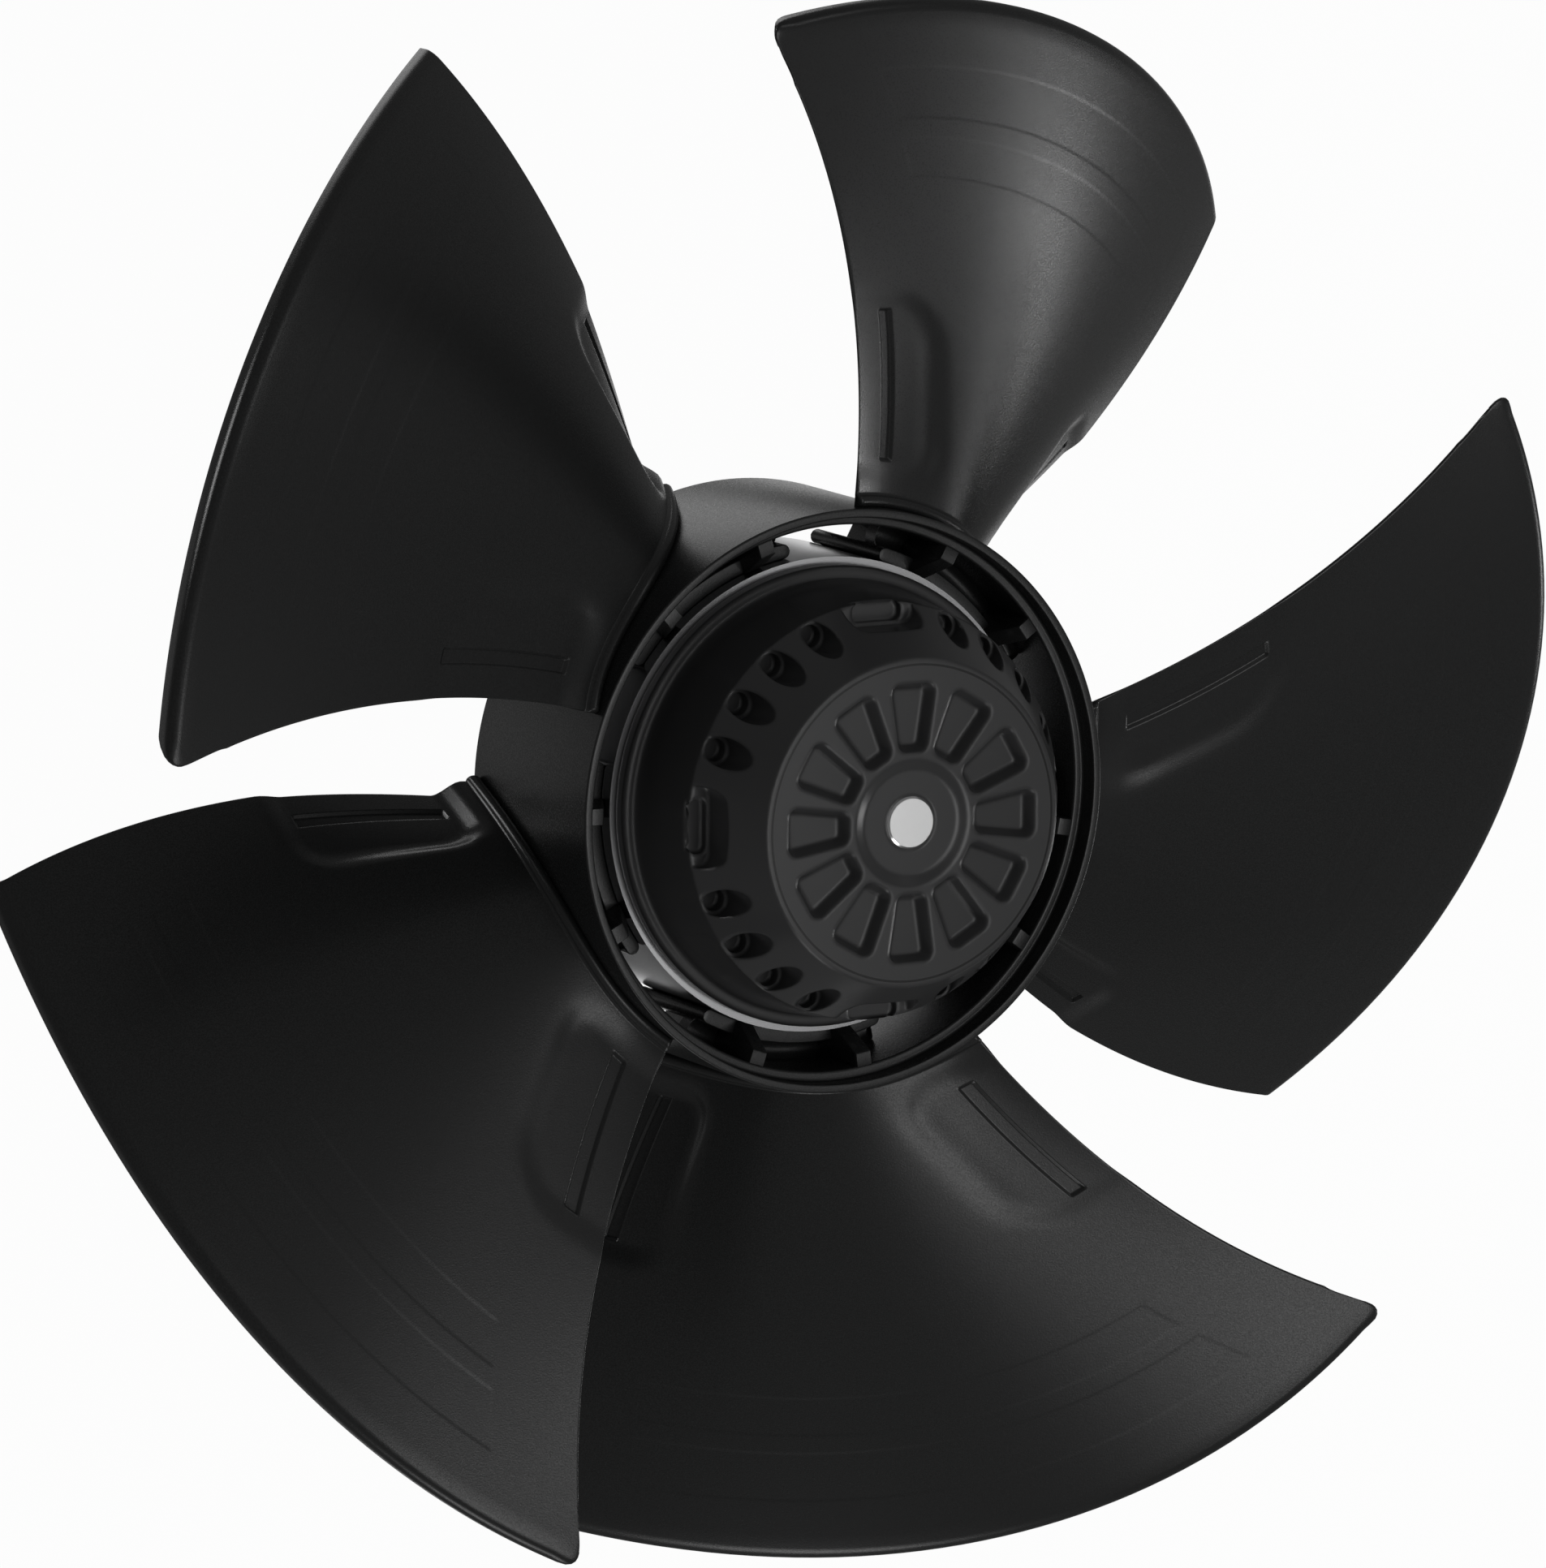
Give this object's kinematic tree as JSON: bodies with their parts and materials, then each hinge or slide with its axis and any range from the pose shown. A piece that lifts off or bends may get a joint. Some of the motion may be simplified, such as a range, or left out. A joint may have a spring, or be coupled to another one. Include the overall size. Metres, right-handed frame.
{
  "type": "axial fan impeller",
  "caption": "Axial fan impeller with forward-swept blades, moulded in one with an open hub, pressed on the bell of an external-rotor motor with a bolted rear flange.",
  "frame": {"origin": "centre of the stator flange's flat back, on the axis of rotation", "axes": "+Z along the axis of rotation, out of the rotor face; +X to a point where the first blade pitch starts"},
  "size_m": [0.498, 0.498, 0.1469],
  "materials": {
    "impeller_plastic": "fine grained, satin black",
    "bell_paint": "smooth satin black paint",
    "turned_steel": "turned",
    "cast_aluminium": "as cast",
    "ground_steel": "ground bright",
    "spring_steel": "blued",
    "sheet_steel": "black paint",
    "lamination": "stacked sheet",
    "insulation": "moulded",
    "winding_copper": "varnished copper",
    "bearing_steel": "polished",
    "screw_steel": "zinc plated"
  },
  "bodies": {
    "stator": {"stator_flange": "cast_aluminium", "rear_cover": "sheet_steel", "stator_core": "lamination", "insulator_front": "insulation", "insulator_rear": "insulation", "winding_front": "winding_copper", "winding_rear": "winding_copper", "wave_spring": "spring_steel", "front_outer_race": "bearing_steel", "rear_outer_race": "bearing_steel", "core_screw_1": "screw_steel", "core_screw_2": "screw_steel", "core_screw_3": "screw_steel", "core_screw_4": "screw_steel"},
    "rotor": {"impeller": "impeller_plastic", "rotor_bell": "bell_paint", "rotor_core": "turned_steel", "rear_cage_ring": "cast_aluminium", "shaft": "ground_steel", "shaft_clip": "spring_steel", "front_inner_race": "bearing_steel", "rear_inner_race": "bearing_steel"}
  },
  "joints": [
    {"name": "spin", "type": "hinge", "parent": "stator", "child": "rotor", "pos_m": [0, 0, 0.075], "axis": [0, 0, 1], "continuous": true}
  ]
}
